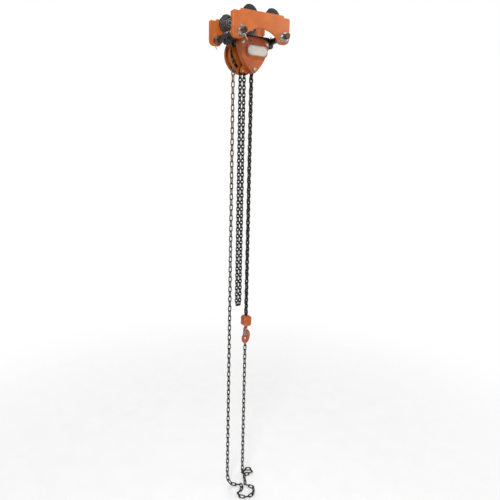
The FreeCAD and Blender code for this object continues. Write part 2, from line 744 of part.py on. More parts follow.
def build_hoist_frame():
    hanger_frame()
    side_plate_of_hoist("gear_side_plate", -side_out, -side_in, True)
    side_plate_of_hoist("wheel_side_plate", side_in, side_out, False)
    stay_bolts()
    stay_spacers()
    cap_nuts()
    rear_nuts()
    gear_cover()
    rating_plate()
    hand_wheel_cover()
    brake_cover()
    chain_guides()


# ---------------------------------------------------------------- gears, sheave, brake

PRESSURE_ANGLE = math.radians(25)
BACKLASH = 0.16
PINION_TEETH, DISC_TEETH, DISC_PINION_TEETH, LOAD_TEETH = 12, 36, 10, 30
PINION_MODULE = 2 * float(cell("gear_distance")) / (PINION_TEETH + DISC_TEETH)
LOAD_MODULE = 2 * float(cell("gear_distance")) / (DISC_PINION_TEETH + LOAD_TEETH)


def involute(base, radius):
    """Angle that the involute has turned through at this radius."""
    if radius <= base:
        return 0.0
    tangent = math.sqrt((radius / base) ** 2 - 1)
    return tangent - math.atan(tangent)


def gear_face(module, teeth, first_angle):
    """Stub-tooth involute gear outline; first_angle is where one tooth points, in degrees."""
    pitch = module * teeth / 2
    base = pitch * math.cos(PRESSURE_ANGLE)
    tip = pitch + 0.8 * module
    root = pitch - 1.05 * module
    half_tooth = math.pi / (2 * teeth) - BACKLASH / (2 * pitch) + involute(base, pitch)
    radii = [root] + [base + (tip - base) * step / 4 for step in range(5) if base > root or step]
    radii = sorted(set(radius for radius in radii if radius >= root))
    corners = []
    for tooth in range(teeth):
        middle = math.radians(first_angle) + 2 * math.pi * tooth / teeth
        for side, order in ((-1, radii), (1, radii[::-1])):
            for radius in order:
                angle = middle + side * (half_tooth - involute(base, radius))
                corners.append(Vector(radius * math.cos(angle), 0, radius * math.sin(angle)))
    corners.append(corners[0])
    return Part.Face(Part.makePolygon(corners))


def solid_of(name, shape):
    feature = doc.addObject("Part::Feature", name)
    feature.Shape = shape
    return feature


def gear(name, module, teeth, start, end, x, z, first_angle=0.0):
    """Gear blank along Y from start to end."""
    shape = gear_face(module, teeth, first_angle).extrude(Vector(0, float(end - start), 0))
    return place(solid_of(name, shape), x, start, z)


def load_sheave():
    """Chain sheave: four pockets for flat links, a groove for standing links, hollow journals."""
    flange, land, groove = 26.0, cell("sheave_apothem") - wire_r - 0.3, 9.2
    bore = drive_r + 0.1
    profile = [
        (bore, -33), (12, -33), (12, -13), (flange, -13), (flange, -9.4), (land, -9.4), (land, -3.1),
        (groove, -3.1), (groove, 3.1), (land, 3.1), (land, 9.4), (flange, 9.4), (flange, 13), (12, 13),
        (12, 21.5), (bore, 21.5)]
    blank = turned("SheaveBlank", profile, 0, axis_z)
    teeth = pocket_teeth(4, 45, 2.3, 13.0, 21.0, 0.0, (3.2, 9.6))
    return node("load_sheave", fuse(blank, *teeth))


def pocket_teeth(count, first_angle, half_width, inner, outer, centre_y, span):
    """Blocks between the flat-link pockets, in pairs either side of the standing-link groove."""
    teeth = []
    for step in range(count):
        turn = Rotation(Vector(0, -1, 0), first_angle + 360 / count * step)
        for side in (-1, 1):
            near, far = sorted((side * span[0], side * span[1]))
            tooth = doc.addObject("Part::Box", "PocketTooth")
            bind(tooth, Length=outer - inner, Width=far - near, Height=2 * half_width)
            corner = turn.multVec(Vector(inner, 0, -half_width))
            teeth.append(place(tooth, corner.x, centre_y + near, axis_z + corner.z, turn))
    return teeth


def hand_wheel():
    """Six-pocket wheel for the hand chain, webbed, with the brake's pressing face on its hub."""
    y = hand_y
    flange, land, groove = 54.0, cell("wheel_apothem") - wire_r - 0.3, 35.0
    profile = [
        (drive_r, 34.5), (30, 34.5), (30, 37.5), (15, 38.5), (15, y - 3), (30, y - 3), (31, y - 11.4),
        (flange, y - 11.4), (flange - 1, y - 9.6), (land, y - 9.6), (land, y - 3.1), (groove, y - 3.1),
        (groove, y + 3.1), (land, y + 3.1), (land, y + 9.6), (flange - 1, y + 9.6), (flange, y + 11.4),
        (31, y + 11.4), (30, y + 3), (15, y + 3), (15, 58), (drive_r, 58)]
    blank = turned("HandWheelBlank", profile, 0, axis_z)
    teeth = pocket_teeth(6, 30, 5.2, 39.0, 49.0, y, (3.2, 9.8))
    windows = []
    for step in range(5):
        angle = math.radians(90 + 72 * step)
        windows.append(bar(5, y - 6, y + 6, x=22.5 * math.cos(angle), z=axis_z + 22.5 * math.sin(angle)))
    return node("hand_wheel", cut(fuse(blank, *teeth), *windows))


def disc_gear(name, side):
    """Compound gear: large wheel driven by the pinion, small one driving the load gear.

    The phases put a space of each wheel opposite a tooth of its mate along the line of centres;
    the pinion's teeth start on the X axis, so the large wheel is turned by the lift's share.
    """
    lift = math.degrees(disc_lift)
    large_phase = lift + 180 + 180 / DISC_TEETH + lift * PINION_TEETH / DISC_TEETH
    small_phase = lift + 180 + 180 / DISC_PINION_TEETH
    if side < 0:
        large_phase, small_phase = 180 - large_phase, 180 - small_phase
    x = gear_x * side
    large = gear("DiscWheel", PINION_MODULE, DISC_TEETH, -40, -35, x, gear_z, large_phase)
    small = gear("DiscPinion", LOAD_MODULE, DISC_PINION_TEETH, -35.5, -23, x, gear_z, small_phase)
    journal = cell("disc_pin_radius")
    return node(name, fuse(large, small, bar(journal, -cover_face + 2, -side_in, x=x, z=gear_z)))


def ratchet_disc():
    """Sixteen saw teeth, each with a radial face that the pawls hold."""
    corners = []
    for tooth in range(16):
        angle = 2 * math.pi * tooth / 16
        for radius in (30, 34):
            corners.append((radius * math.cos(angle), float(axis_z) + radius * math.sin(angle)))
    edges = rounded(corners)
    return node("ratchet_disc", cut(slab(edges, 28, 32), bar(13.5, 27, 33, x=0, z=axis_z)))


def pawl(name, sign):
    """Hook-shaped pawl whose nose meets a ratchet face; the pin hole is at its heel."""
    corners = [(30.8, -0.5), (34.2, -0.5), (38, -7, 4), (38.4, -29.4, 5), (27.6, -29.4, 5), (28.4, -21, 3),
               (32.6, -12.5, 6)]
    placed = [(c[0] * sign, float(axis_z) + c[1] * sign) + tuple(c[2:]) for c in corners]
    x, z = PAWL_PIVOT.x * sign, axis_z + PAWL_PIVOT.z * sign
    return node(name, cut(slab(rounded(placed), 28, 32), bar(3 + gap, 27, 33, x=x, z=z)))


def pawl_fittings():
    pins = [bar(3, side_in, 32.3, x=x, z=z) for x, z in pawl_places()]
    node("pawl_pins", group(*pins))
    springs = []
    for x, z in pawl_places():
        springs += [ring(4.1, 0.7, x, 21 + 1.5 * turn, z) for turn in range(4)]
    return node("pawl_springs", group(*springs))


def drive_line():
    """Pinion shaft with everything clamped on it between the gears and the hand wheel nut."""
    shaft = bar(drive_r, -cover_face + 1, 67, x=0, z=axis_z)
    pinion = gear("Pinion", PINION_MODULE, PINION_TEETH, -41, -34, 0, axis_z)
    node("pinion_shaft", fuse(shaft, pinion))
    node("friction_hub", turned("FrictionHub", [
        (drive_r, 22.5), (30, 22.5), (30, 25.5), (13, 25.5), (13, 34.4), (drive_r, 34.4)], 0, axis_z))
    discs = [tube(29, 14, 25.5, 27.95, x=0, z=axis_z), tube(29, 14, 32.05, 34.5, x=0, z=axis_z)]
    node("friction_discs", group(*discs))
    ratchet_disc()
    pawl("pawl_right", 1)
    pawl("pawl_left", -1)
    pawl_fittings()
    hand_wheel()
    nut = cut(hexagon(18.0, 58, 65, 0, axis_z), bar(drive_r, 57, 66, x=0, z=axis_z))
    node("hand_wheel_nut", nut)


def build_drive():
    load_sheave()
    rim = gear("LoadGearRim", LOAD_MODULE, LOAD_TEETH, -32, -24, 0, axis_z)
    node("load_gear", cut(rim, bar(12, -33, -23, x=0, z=axis_z)))
    disc_gear("disc_gear_left", -1)
    disc_gear("disc_gear_right", 1)
    seats = bearing(12, 19, -21, -14, 0, axis_z, 12) + bearing(12, 19, 14, 21, 0, axis_z, 12)
    node("sheave_bearings", group(*seats))
    drive_line()


# ---------------------------------------------------------------- chains

def link_solid(pitch, slack):
    """One welded link along X in the XY plane: two half rings and two straight sides."""
    width = float(cell("link_width")) / 2
    radius = float(wire_r)
    straight = pitch + slack + 2 * radius - 2 * width
    half = Part.makeTorus(width, radius, Vector(), Vector(0, 0, 1), 0, 360, 180)
    ahead = half.copy()
    ahead.Placement = Placement(Vector(straight / 2, 0, 0), Rotation(Vector(0, 0, 1), -90))
    behind = half.copy()
    behind.Placement = Placement(Vector(-straight / 2, 0, 0), Rotation(Vector(0, 0, 1), 90))
    sides = [Part.makeCylinder(radius, straight, Vector(-straight / 2, width * side, 0), Vector(1, 0, 0))
             for side in (-1, 1)]
    return ahead.fuse([behind] + sides).removeSplitter()


def chain_links(link, points, normals):
    """Links between successive points; each normal is the direction a link's flat side faces."""
    links = []
    for start, end, normal in zip(points, points[1:], normals):
        along = (end - start).normalize()
        facing = (normal - along * normal.dot(along)).normalize()
        across = facing.cross(along)
        solid = link.copy()
        solid.Placement = Placement((start + end) * 0.5, Rotation(along, across, facing, "XYZ"))
        links.append(solid)
    return links


def chain_node(name, links):
    return node(name, solid_of(name, Part.makeCompound(links)))


def wrap_points(apothem, sides, y):
    """Corners of the polygon that the chain makes over the top of a pocketed wheel."""
    corner = apothem / math.cos(math.pi / sides)
    step = 2 * math.pi / sides
    return [Vector(corner * math.cos(step * (k - 0.5)), y, float(axis_z) + corner * math.sin(step * (k - 0.5)))
            for k in range(sides // 2 + 2)]


def wrap_normals(points, y):
    """Flat links face the wheel's centre and standing links face along its axis."""
    centre = Vector(0, y, float(axis_z))
    normals = []
    for index, (start, end) in enumerate(zip(points, points[1:])):
        normals.append((start + end) * 0.5 - centre if index % 2 == 0 else Vector(0, 1, 0))
    return normals


def planar_normals(points, first_standing=True):
    """Alternate normals for a chain that stays in an XZ plane."""
    normals = []
    for index, (start, end) in enumerate(zip(points, points[1:])):
        standing = (index % 2 == 0) == first_standing
        normals.append(Vector(0, 1, 0) if standing else (end - start).cross(Vector(0, 1, 0)))
    return normals


def strides(spots, chord):
    """Walk along closely spaced spots in straight strides of one chord."""
    points = [spots[0]]
    for spot in spots[1:]:
        stride = spot - points[-1]
        if stride.Length >= chord:
            points.append(points[-1] + stride.normalize() * chord)
    return points


def walk(curve, pitch):
    """Points along the whole curve, an odd number of equal chords as near the pitch as fits."""
    steps = 6000
    first, span = curve.FirstParameter, curve.LastParameter - curve.FirstParameter
    spots = [curve.value(first + span * step / steps) for step in range(steps + 1)]
    whole = strides(spots, pitch)
    reach = len(whole) - 1 + (spots[-1] - whole[-1]).Length / pitch
    count = 2 * round((reach - 1) / 2) + 1
    short, long = pitch * 0.95, pitch * 1.05
    for _ in range(40):
        chord = (short + long) / 2
        points = strides(spots, chord)
        reached = len(points) - 1 + (spots[-1] - points[-1]).Length / chord
        short, long = (chord, long) if reached > count else (short, chord)
    return points[:count] + [spots[-1]]


LOAD_SLACK = 0.5
HAND_SLACK = 0.4
LOOP_HEADINGS = (25, 90, 155)

# Where the hand chain lies on the floor, from below the left strand to below the right one.
FLOOR_ROUTE = [
    (-28, 24), (-4, 16), (20, 4), (4, -24), (-24, -34), (-46, -46), (-30, -72), (0, -86), (28, -84),
    (48, -60), (60, -32), (34, -18), (30, 12), (56, 24), (52, 54), (76, 64), (104, 48), (126, 76),
    (100, 100), (74, 82)]


def load_chain():
    link = link_solid(float(cell("load_pitch")), LOAD_SLACK)
    pitch = float(cell("load_pitch"))
    wrap = wrap_points(float(cell("sheave_apothem")), 8, 0)
    on_sheave = chain_links(link, wrap, wrap_normals(wrap, 0))
    count = int(float(cell("hook_strand_links")))
    strand = [wrap[0] - Vector(0, 0, pitch * k) for k in range(count + 1)]
    chain_node("load_chain_hook_strand", chain_links(link, strand, planar_normals(strand)))
    down = int(float(cell("slack_down_links")))
    up = int(float(cell("slack_up_links")))
    loop_width = sum(pitch * math.sin(math.radians(heading)) for heading in LOOP_HEADINGS)
    first = wrap[-1]
    last_x = first.x - (first.x - ANCHOR_X - loop_width) / 2
    slack = [first + Vector((last_x - first.x) * k / down, 0, -pitch * k) for k in range(down + 1)]
    for heading in LOOP_HEADINGS:
        angle = math.radians(heading)
        slack.append(slack[-1] + Vector(-math.sin(angle), 0, -math.cos(angle)) * pitch)
    turn = slack[-1]
    slack += [turn + Vector((ANCHOR_X - turn.x) * k / up, 0, pitch * k) for k in range(1, up + 1)]
    chain_node("load_chain_slack_end", on_sheave + chain_links(link, slack, planar_normals(slack)))


def hand_chain():
    pitch = float(cell("hand_pitch"))
    y = float(hand_y)
    link = link_solid(pitch, HAND_SLACK)
    wrap = wrap_points(float(cell("wheel_apothem")), 12, y)
    links = chain_links(link, wrap, wrap_normals(wrap, y))
    count = int(float(cell("hand_strand_links")))
    for top in (wrap[0], wrap[-1]):
        strand = [top - Vector(0, 0, pitch * k) for k in range(count + 1)]
        links += chain_links(link, strand, planar_normals(strand))
    chain_node("hand_chain", links)
    right, left = (top - Vector(0, 0, pitch * count) for top in (wrap[0], wrap[-1]))
    lie = float(floor_z) + 7.5
    route = [left, left + Vector(2, -7, -24)]
    route += [Vector(x, y_floor, lie) for x, y_floor in FLOOR_ROUTE]
    route += [right + Vector(5, 5, -26), right]
    curve = Part.BSplineCurve()
    curve.interpolate(route)
    points = walk(curve, pitch)
    print(f"floor chain: {len(points) - 1} links, chord {(points[1] - points[0]).Length:.2f}")
    normals = []
    for index, (start, end) in enumerate(zip(points, points[1:])):
        along = (end - start).normalize()
        lean = 45 * min(1, min(index, len(points) - 2 - index) / 4)
        tilt = math.radians(lean + (0 if index % 2 == 0 else 90))
        side = along.cross(Vector(0, 0, 1) if abs(along.z) < 0.8 else Vector(0, 1, 0)).normalize()
        normals.append(side * math.sin(tilt) + side.cross(along) * math.cos(tilt))
    chain_node("hand_chain_on_floor", chain_links(link, points, normals))


# ---------------------------------------------------------------- hook block

def hook_places():
    """Heights of the hook block: its chain pin, top, floor and the centre of the hook's bow."""
    strand_end = axis_z - (cell("sheave_apothem") * math.tan(math.pi / 8)
                           + cell("load_pitch") * cell("hook_strand_links"))
    return {"pin": strand_end + 2.5, "top": strand_end + 23, "collar": strand_end - 8,
            "floor": strand_end - 26, "bow": strand_end - 82}


def hook_block(x, high):
    """Two bolted halves round the last link and the hook's collar."""
    block = float(cell("block_half"))
    depth = cell("block_depth")
    cx, top, floor = float(x), float(high["top"]), float(high["floor"])
    outline = rounded([(cx - block, floor + 4, 6), (cx - block, top - 8, 7), (cx - 11, top, 4),
                       (cx + 11, top, 4), (cx + block, top - 8, 7), (cx + block, floor + 4, 6),
                       (cx + 12, floor, 4), (cx - 12, floor, 4)])
    for name, start, end in (("hook_block_front", -depth, 0), ("hook_block_rear", 0, depth)):
        half = slab(outline, start, end)
        tools = [box(x - 9.2, x + 9.2, -3.1, 3.1, high["pin"] - 8.5, high["top"] + 1),
                 box(x - 3.1, x + 3.1, -9.2, 9.2, high["pin"] + 6.4, high["top"] + 1),
                 bar(12, high["collar"] - 9, high["collar"] + 1, "z", x=x, y=0),
                 bar(7.4, high["floor"] - 1, high["collar"] - 8, "z", x=x, y=0),
                 bar(2.5, -depth - 1, depth + 1, x=x, z=high["pin"])]
        tools += [bar(2.5, -depth - 1, depth + 1, x=x + 14.6 * side, z=high[level] + lift)
                  for side in (-1, 1) for level, lift in (("top", -13), ("floor", 11))]
        node(name, cut(half, *tools))
    bolts = []
    for side in (-1, 1):
        for level, lift in (("top", -13), ("floor", 11)):
            at = {"x": x + 14.6 * side, "z": high[level] + lift}
            head = hexagon(8.0, -depth - 3, -depth, at["x"], at["z"])
            nut = hexagon(8.0, depth, depth + 3.5, at["x"], at["z"])
            bolts.append(fuse(bar(2.5, -depth - 1, depth + 4.5, **at), head, nut))
    node("hook_block_bolts", group(*bolts))
    node("hook_chain_pin", bar(2.5, -depth, depth, x=x, z=high["pin"]))
    washer = tube(11.5, 7.4, high["collar"] - 9, high["collar"] - 6.1, "z", x=x, y=0)
    node("hook_thrust_washer", washer)


def hook(x, high):
    """Forged hook: collar and shank in the block, round bow, tapered tip, latch pin hole."""
    bow, gauge = float(cell("hook_bow")), float(cell("hook_gauge"))
    collar, middle, floor = float(high["collar"]), float(high["bow"]), float(high["floor"])
    shank_foot = latch_pin_z(high) + 5.5
    shank = Part.makeCylinder(7.2, collar - shank_foot, Vector(0, 0, shank_foot))
    head = Part.makeCylinder(11.5, 6, Vector(0, 0, collar - 6))
    neck = Part.makeBox(17, 9, floor - middle - bow, Vector(-6.5, -4.5, middle + bow - 1))
    ring_part = Part.makeTorus(bow, gauge, Vector(), Vector(0, 0, 1), 0, 360, 255)
    ring_part.rotate(Vector(), Vector(0, 0, 1), 90)
    ring_part.rotate(Vector(), Vector(1, 0, 0), 90)
    ring_part.translate(Vector(0, 0, middle))
    tip_angle = math.radians(345)
    tip_start = Vector(bow * math.cos(tip_angle), 0, middle + bow * math.sin(tip_angle))
    heading = Vector(-math.sin(tip_angle), 0, math.cos(tip_angle))
    tip = Part.makeCone(gauge, 5.2, 17, tip_start, heading)
    point = Part.makeSphere(5.2, tip_start + heading * 17)
    pin_hole = Part.makeCylinder(2, 30, Vector(LATCH_PIN_X, -15, latch_pin_z(high)), Vector(0, 1, 0))
    solid = shank.fuse([head, neck, ring_part, tip, point]).cut(pin_hole)
    feature = place(solid_of("Hook", solid), x, 0, 0, hook_turn())
    return node("load_hook", feature)


LATCH_PIN_X = 6.0


def latch_pin_z(high):
    return float(high["floor"]) - 14


def hook_turn():
    return Rotation(Vector(0, 0, 1), float(cell("hook_heading")))


def latch(x, high):
    """Spring latch: two cheeks on the neck and a tongue that closes on the tip's inner side."""
    z = latch_pin_z(high)
    lean = Rotation(Vector(0, 1, 0), -12)
    tongue = Part.makeBox(2.4, 13.4, 17, Vector(4.6, -6.7, -38))
    cheeks = [Part.makeBox(5, 1.6, 38, Vector(2, side, -38)) for side in (5.1, -6.7)]
    eyes = [Part.makeCylinder(4.5, 1.6, Vector(0, side, 0), Vector(0, 1, 0)) for side in (5.1, -6.7)]
    solid = tongue.fuse(cheeks + eyes)
    bore = Part.makeCylinder(2.05, 30, Vector(0, -15, 0), Vector(0, 1, 0))
    solid = solid.cut(bore)
    solid.Placement = Placement(Vector(LATCH_PIN_X, 0, z), lean)
    node("hook_latch", place(solid_of("Latch", Part.makeCompound([solid])), x, 0, 0, hook_turn()))
    pin = Part.makeCylinder(2, 19, Vector(LATCH_PIN_X, -9.5, z), Vector(0, 1, 0))
    node("hook_latch_pin", place(solid_of("LatchPin", pin), x, 0, 0, hook_turn()))
    coils = [Part.makeTorus(2.9, 0.6, Vector(LATCH_PIN_X, side, z), Vector(0, 1, 0))
             for side in (-7.4, 7.4, 8.7)]
    node("hook_latch_spring", place(solid_of("LatchSpring", Part.makeCompound(coils)), x, 0, 0, hook_turn()))


def build_hook():
    x = cell("sheave_apothem")
    high = hook_places()
    hook_block(x, high)
    hook(x, high)
    latch(x, high)


# ---------------------------------------------------------------- build, check and export

def check_and_export():
    doc.recompute()
    for item in doc.Objects:
        if {"Invalid", "Error"} & set(item.State):
            raise RuntimeError(f"{item.Name} ({item.Label}) did not recompute: {item.State}")
    os.makedirs("parts", exist_ok=True)
    for item in NODES:
        shape = item.Shape
        if shape.isNull() or not shape.isValid() or not shape.Solids:
            raise RuntimeError(f"{item.Label} has no valid solid")
        shape.exportStep(os.path.join("parts", item.Label + ".step"))
        print(f"{item.Label}: {len(shape.Solids)} solids, {shape.Volume / 1000:.1f} cm3")
    print(len(NODES), "sub-parts")


build_trolley()
build_hoist_frame()
build_drive()
load_chain()
hand_chain()
build_hook()
check_and_export()
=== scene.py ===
"""Looks, chains, studio and camera for the beam trolley with its built-in chain hoist."""

import json
import math

import bmesh
import bpy
import numpy as np
from mathutils import Matrix, Vector


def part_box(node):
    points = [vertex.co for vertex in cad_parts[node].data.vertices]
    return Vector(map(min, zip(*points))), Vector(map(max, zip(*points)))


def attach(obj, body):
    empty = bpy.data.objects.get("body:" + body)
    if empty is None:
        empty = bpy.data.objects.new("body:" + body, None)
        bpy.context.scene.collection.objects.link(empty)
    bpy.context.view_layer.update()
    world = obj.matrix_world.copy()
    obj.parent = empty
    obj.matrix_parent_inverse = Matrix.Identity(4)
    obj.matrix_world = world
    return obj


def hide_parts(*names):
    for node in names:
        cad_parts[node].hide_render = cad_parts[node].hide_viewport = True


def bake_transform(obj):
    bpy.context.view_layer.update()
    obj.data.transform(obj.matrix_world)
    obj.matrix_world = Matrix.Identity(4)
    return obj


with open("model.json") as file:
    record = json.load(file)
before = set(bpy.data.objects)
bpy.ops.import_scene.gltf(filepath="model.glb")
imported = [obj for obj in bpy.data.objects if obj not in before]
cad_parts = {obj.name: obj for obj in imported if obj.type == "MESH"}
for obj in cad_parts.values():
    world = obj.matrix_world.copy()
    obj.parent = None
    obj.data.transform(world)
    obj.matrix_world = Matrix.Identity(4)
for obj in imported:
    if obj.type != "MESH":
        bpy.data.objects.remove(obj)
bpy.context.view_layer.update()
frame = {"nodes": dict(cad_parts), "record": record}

MM = 0.001
HOIST = "trolley_and_hoist"

# The hoist's axis and the chains, as in the CAD model.
AXIS_Z = -98 * MM
SHEAVE_APOTHEM = 18.1 * MM
SHEAVE_SIDES = 8
WHEEL_APOTHEM = 44.2 * MM
WHEEL_SIDES = 12
HAND_PLANE = 46.5 * MM
LOAD_PITCH = 15 * MM
HAND_PITCH = 23.7 * MM
LINK_WIDTH = 12.3 * MM
WIRE = 5 * MM
LOAD_SLACK = 0.5 * MM
HAND_SLACK = 0.4 * MM
HOOK_STRAND_LINKS = 77
HAND_STRAND_LINKS = 84
ANCHOR = Vector((-37, 0, -165.5)) * MM
FLOOR_Z = -2150 * MM
LYING_HEIGHT = 7.5 * MM

# The track wheels' axles and treads, as in the CAD model.
AXLE_OFFSET = 52.5 * MM
AXLE_HEIGHT = 26 * MM
TREAD_END = 85 * MM


# ---------------------------------------------------------------- material graphs

class Graph:
    """A material made of nodes, with short calls for the ones used here."""

    def __init__(self, name, **sockets):
        self.material = bpy.data.materials.new(name)
        self.material.use_nodes = True
        self.tree = self.material.node_tree
        self.tree.nodes.clear()
        self.shader = self.add("ShaderNodeBsdfPrincipled")
        self.surface = self.add("ShaderNodeOutputMaterial").inputs["Surface"]
        self.join(self.shader.outputs["BSDF"], self.surface)
        self.place = self.add("ShaderNodeTexCoord").outputs["Object"]
        self.facing = self.add("ShaderNodeNewGeometry").outputs["Normal"]
        for socket, value in sockets.items():
            self.shader.inputs[socket.replace("_", " ")].default_value = value

    def add(self, kind, **settings):
        made = self.tree.nodes.new(kind)
        for name, value in settings.items():
            setattr(made, name, value)
        return made

    def join(self, source, target):
        self.tree.links.new(source, target)

    def feed(self, target, value):
        if isinstance(value, bpy.types.NodeSocket):
            self.join(value, target)
        else:
            target.default_value = value

    def drive(self, socket, value):
        self.join(value, self.shader.inputs[socket])

    def sum(self, operation, first, second=0.0):
        made = self.add("ShaderNodeMath", operation=operation)
        self.feed(made.inputs[0], first)
        self.feed(made.inputs[1], second)
        return made.outputs[0]

    def stretched(self, stretch):
        made = self.add("ShaderNodeMapping")
        self.join(self.place, made.inputs["Vector"])
        made.inputs["Scale"].default_value = stretch
        return made.outputs["Vector"]

    def noise(self, scale, detail=3.0, roughness=0.5, stretch=None):
        made = self.add("ShaderNodeTexNoise")
        self.join(self.stretched(stretch) if stretch else self.place, made.inputs["Vector"])
        made.inputs["Scale"].default_value = scale
        made.inputs["Detail"].default_value = detail
        made.inputs["Roughness"].default_value = roughness
        return made.outputs["Fac"]

    def spread(self, value, low, high, least=0.0, most=1.0):
        made = self.add("ShaderNodeMapRange", interpolation_type="SMOOTHSTEP")
        self.feed(made.inputs["Value"], value)
        for name, number in (("From Min", low), ("From Max", high), ("To Min", least), ("To Max", most)):
            made.inputs[name].default_value = number
        return made.outputs["Result"]

    def mix(self, share, first, second):
        made = self.add("ShaderNodeMix", data_type="RGBA")
        colour_in = [socket for socket in made.inputs if socket.type == "RGBA"]
        self.feed(made.inputs["Factor"], share)
        for socket, colour in zip(colour_in, (first, second)):
            self.feed(socket, colour if isinstance(colour, bpy.types.NodeSocket) else (*colour, 1.0))
        return next(socket for socket in made.outputs if socket.type == "RGBA")

    def rounded(self, radius):
        made = self.add("ShaderNodeBevel", samples=4)
        made.inputs["Radius"].default_value = radius
        return made.outputs["Normal"]

    def edges(self, radius):
        """1 on sharp edges and 0 on open surface."""
        dot = self.add("ShaderNodeVectorMath", operation="DOT_PRODUCT")
        self.join(self.rounded(radius), dot.inputs[0])
        self.join(self.facing, dot.inputs[1])
        return self.spread(dot.outputs["Value"], 0.995, 0.86)

    def bump(self, height, depth, strength=1.0, under=None):
        made = self.add("ShaderNodeBump")
        made.inputs["Distance"].default_value = depth
        made.inputs["Strength"].default_value = strength
        self.join(height, made.inputs["Height"])
        if under:
            self.join(under, made.inputs["Normal"])
        return made.outputs["Normal"]

    def axis(self, name):
        made = self.add("ShaderNodeSeparateXYZ")
        self.join(self.place, made.inputs[0])
        return made.outputs[name]

    def scaled(self, value, share):
        return self.sum("MULTIPLY", value, share)

    def distance(self, first, second):
        """Length of the vector whose two parts are given."""
        squares = self.sum("ADD", self.sum("MULTIPLY", first, first), self.sum("MULTIPLY", second, second))
        return self.sum("SQRT", squares)


PAINT_EDGE = 0.8 * MM
EDGE_HIGHLIGHT_AND_WEAR_RADIUS = 1.1 * MM
SMUDGE_DARKNESS = 0.45


def painted(name, colour, shade, edge_highlight_and_wear, roughness, coat):
    """Sprayed enamel: orange peel, uneven tone, faint smudges and thin, lighter edges that are partly wear
    and partly a painted highlight.
    """
    look = Graph(name, Coat_Weight=coat, Coat_Roughness=0.12, Specular_IOR_Level=0.5)
    tone = look.spread(look.noise(14, 5, 0.6), 0.3, 0.7)
    base = look.mix(tone, shade, colour)
    smudge = look.spread(look.noise(60, 6, 0.7), 0.56, 0.72)
    base = look.mix(look.scaled(smudge, 0.22), base, tuple(SMUDGE_DARKNESS * part for part in shade))
    # Lighter edges: partly paint worn thin, partly a painted highlight.
    lighter_edges = look.scaled(look.edges(EDGE_HIGHLIGHT_AND_WEAR_RADIUS), look.spread(look.noise(420, 4, 0.6), 0.35, 0.6))
    base = look.mix(look.scaled(lighter_edges, 0.8), base, edge_highlight_and_wear)
    look.drive("Base Color", base)
    rough = look.spread(look.noise(38, 6, 0.65), 0.25, 0.75, roughness - 0.08, roughness + 0.12)
    look.drive("Roughness", rough)
    peel = look.bump(look.noise(520, 2, 0.5), 0.05 * MM, 0.5, look.rounded(PAINT_EDGE))
    look.drive("Normal", look.bump(look.noise(1900, 2, 0.5), 0.015 * MM, 0.6, peel))
    return look.material


PLATING_GRAIN = 900.0
PLATING_EDGE = 0.35 * MM
PLATING_WEAR = 0.5 * MM
WORN_BRIGHTNESS = 1.3


def plated(name, bright, dull, roughness, tint=None):
    """Plated steel: blotches of tone, fine tumbling marks and brighter edges from wear."""
    look = Graph(name, Metallic=1.0)
    tone = look.spread(look.noise(90, 5, 0.6), 0.32, 0.68)
    base = look.mix(tone, dull, bright)
    if tint:
        base = look.mix(look.spread(look.noise(240, 3, 0.5), 0.5, 0.7, 0.0, 0.7), base, tint)
    lighter_edges = tuple(min(1, WORN_BRIGHTNESS * part) for part in bright)
    base = look.mix(look.scaled(look.edges(PLATING_WEAR), 0.45), base, lighter_edges)
    look.drive("Base Color", base)
    rough = look.spread(look.noise(310, 5, 0.7), 0.3, 0.7, roughness - 0.1, roughness + 0.14)
    look.drive("Roughness", rough)
    marks = look.bump(look.noise(PLATING_GRAIN, 3, 0.6), 0.03 * MM, 0.5, look.rounded(PLATING_EDGE))
    look.drive("Normal", marks)
    return look.material


def turned_steel(name, bright, dull, roughness):
    """Machined steel with fine tool lines round the Y axis, which every turned piece here shares."""
    look = Graph(name, Metallic=1.0)
    lines = look.noise(700, 2, 0.5, stretch=(0.15, 6.0, 0.15))
    tone = look.spread(look.noise(120, 4, 0.6), 0.3, 0.7)
    look.drive("Base Color", look.mix(tone, dull, bright))
    look.drive("Roughness", look.spread(lines, 0.3, 0.7, roughness - 0.08, roughness + 0.12))
    look.drive("Normal", look.bump(lines, 0.02 * MM, 0.6, look.rounded(0.4 * MM)))
    return look.material


def wheel_iron():
    """Black enamel on cast iron with a painted grey highlight on its edges, rubbed bright on the tread and
    the inside of the flange.
    """
    look = Graph("wheel_iron", Coat_Weight=0.5, Coat_Roughness=0.08)
    across = look.sum("SUBTRACT", look.sum("ABSOLUTE", look.axis("X")), AXLE_OFFSET)
    height = look.sum("SUBTRACT", look.axis("Z"), AXLE_HEIGHT)
    reach = look.distance(across, height)
    out = look.sum("ABSOLUTE", look.axis("Y"))
    inward = look.spread(out, TREAD_END + 1 * MM, TREAD_END - 1 * MM)
    tread = look.scaled(look.spread(reach, 24.8 * MM, 25.6 * MM), inward)
    streaks = look.noise(160, 5, 0.6, stretch=(1, 5, 1))
    rubbed = look.scaled(tread, look.spread(streaks, 0.4, 0.62, 0.1, 0.75))
    tone = look.spread(look.noise(50, 5, 0.6), 0.3, 0.7)
    paint = look.mix(tone, (0.012, 0.012, 0.014), (0.03, 0.031, 0.035))
    # Edges lightened towards grey: a painted highlight.
    paint = look.mix(look.scaled(look.edges(PAINT_EDGE), 0.18), paint, (0.20, 0.20, 0.21))
    look.drive("Base Color", look.mix(rubbed, paint, (0.36, 0.35, 0.33)))
    look.drive("Metallic", rubbed)
    look.drive("Roughness", look.spread(look.noise(70, 5, 0.6), 0.3, 0.7, 0.2, 0.36))
    grit = look.bump(look.noise(420, 2, 0.5), 0.02 * MM, 0.5, look.rounded(0.9 * MM))
    look.drive("Normal", grit)
    return look.material


